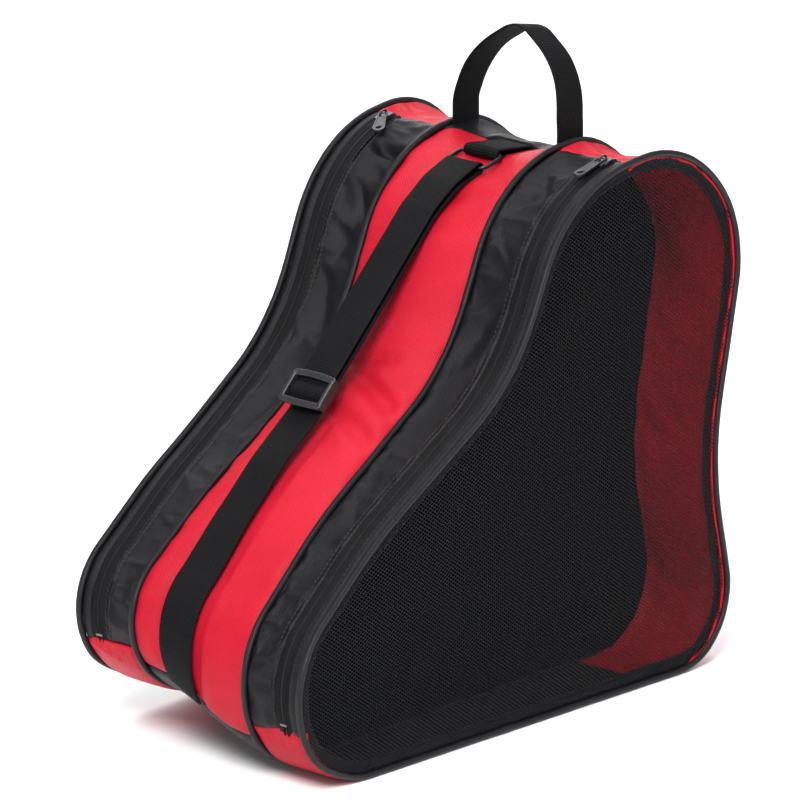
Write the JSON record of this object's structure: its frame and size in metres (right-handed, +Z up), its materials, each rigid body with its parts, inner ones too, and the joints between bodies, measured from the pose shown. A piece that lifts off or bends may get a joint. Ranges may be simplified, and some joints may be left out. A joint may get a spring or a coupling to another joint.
{
  "type": "skate bag",
  "caption": "Boot-shaped skate bag: a compartment for each skate with zipped front and mesh side, a red-fronted middle pocket, a carry handle and an adjustable shoulder strap.",
  "frame": {"origin": "centre of the bag's footprint on the surface it stands on", "axes": "+Z up, toe towards -X, heel towards +X, the bag's left side towards -Y"},
  "size_m": [0.3974, 0.2284, 0.417],
  "materials": {
    "black_oxford": "semi-gloss woven nylon",
    "red_oxford": "semi-gloss woven nylon",
    "mesh": "open diagonal mesh",
    "piping": "satin",
    "webbing": "ribbed webbing",
    "zip_tape": "woven tape",
    "zip_coil": "satin",
    "zip_metal": "gunmetal satin",
    "ring_metal": "dark nickel",
    "plastic": "satin moulded",
    "board": "matte",
    "lining": "matte woven"
  },
  "bodies": {
    "bag": {"left_mesh_panel": "mesh", "right_mesh_panel": "mesh", "left_face_piping": "piping", "right_face_piping": "piping", "left_inner_piping": "piping", "right_inner_piping": "piping", "left_edge_strip": "black_oxford", "right_edge_strip": "black_oxford", "left_zip_tape": "zip_tape", "right_zip_tape": "zip_tape", "left_zip_coil": "zip_coil", "right_zip_coil": "zip_coil", "left_front_gusset": "black_oxford", "right_front_gusset": "black_oxford", "left_red_gusset": "red_oxford", "right_red_gusset": "red_oxford", "left_divider": "lining", "right_divider": "lining", "left_base_board": "board", "right_base_board": "board", "center_base_board": "board", "center_front_panel": "red_oxford", "top_patch": "black_oxford", "center_back_left": "black_oxford", "center_back_right": "black_oxford", "back_zip_tape": "zip_tape", "back_zip_coil": "zip_coil", "center_base_panel": "black_oxford", "zip_end_stops": "zip_metal", "handle_sewn_ends": "webbing", "strap_tab": "webbing", "strap_anchor": "webbing"},
    "handle": {"carry_handle": "webbing"},
    "ring": {"strap_ring": "ring_metal"},
    "strap_top": {"upper_strap": "webbing"},
    "adjuster": {"strap_adjuster": "plastic"},
    "strap_bottom": {"lower_strap": "webbing"},
    "left_slider": {"left_zip_slider": "zip_metal"},
    "left_pull": {"left_zip_pull": "zip_metal"},
    "right_slider": {"right_zip_slider": "zip_metal"},
    "right_pull": {"right_zip_pull": "zip_metal"},
    "back_slider": {"back_zip_slider": "zip_metal"},
    "back_pull": {"back_zip_pull": "zip_metal"}
  },
  "joints": [
    {"name": "handle_fold", "type": "hinge", "parent": "bag", "child": "handle", "pos_m": [0.112, 0, 0.36342], "axis": [0, 1, 0], "range_deg": [-80, 65]},
    {"name": "strap_lift", "type": "hinge", "parent": "ring", "child": "strap_top", "pos_m": [0.05996, 0, 0.33476], "axis": [0.0436, 0.999, 0], "range_deg": [0, 40]},
    {"name": "ring_swing", "type": "hinge", "parent": "bag", "child": "ring", "pos_m": [0.0782, -0.0008, 0.34], "axis": [0.0436, 0.999, 0], "range_deg": [0, 20]},
    {"name": "adjuster_slide", "type": "slide", "parent": "strap_top", "child": "adjuster", "axis": [0.6954, -0.0304, 0.7179], "range_m": [0, 0.09]},
    {"name": "strap_foot", "type": "hinge", "parent": "bag", "child": "strap_bottom", "pos_m": [-0.19505, 0.01113, 0.07371], "axis": [-0.0436, -0.999, 0], "range_deg": [0, 44]},
    {"name": "left_zip", "type": "hinge", "parent": "bag", "child": "left_slider", "pos_m": [0.10515, -0.09233, 0.25251], "axis": [-0.0506, -0.9987, 0], "range_deg": [0, 48]},
    {"name": "left_pull_lift", "type": "hinge", "parent": "left_slider", "child": "left_pull", "pos_m": [0.08649, -0.09138, 0.34862], "axis": [0.0506, 0.9987, 0], "range_deg": [0, 150]},
    {"name": "right_zip", "type": "hinge", "parent": "bag", "child": "right_slider", "pos_m": [0.10515, 0.09233, 0.25251], "axis": [0.0506, -0.9987, 0], "range_deg": [0, 48]},
    {"name": "right_pull_lift", "type": "hinge", "parent": "right_slider", "child": "right_pull", "pos_m": [0.08649, 0.09138, 0.34862], "axis": [-0.534, 0.8401, -0.0954], "range_deg": [0, 150]},
    {"name": "back_zip", "type": "slide", "parent": "bag", "child": "back_slider", "axis": [-0.1565, 0, -0.9877], "range_m": [0, 0.045]},
    {"name": "back_pull_lift", "type": "hinge", "parent": "back_slider", "child": "back_pull", "pos_m": [0.19642, 0, 0.23942], "axis": [0, -1, 0], "range_deg": [0, 150]}
  ],
  "couplings": [
    {"joint": "ring_swing", "follows": "strap_lift", "ratio": 0.5},
    {"joint": "strap_foot", "follows": "strap_lift", "ratio": 1.1}
  ]
}
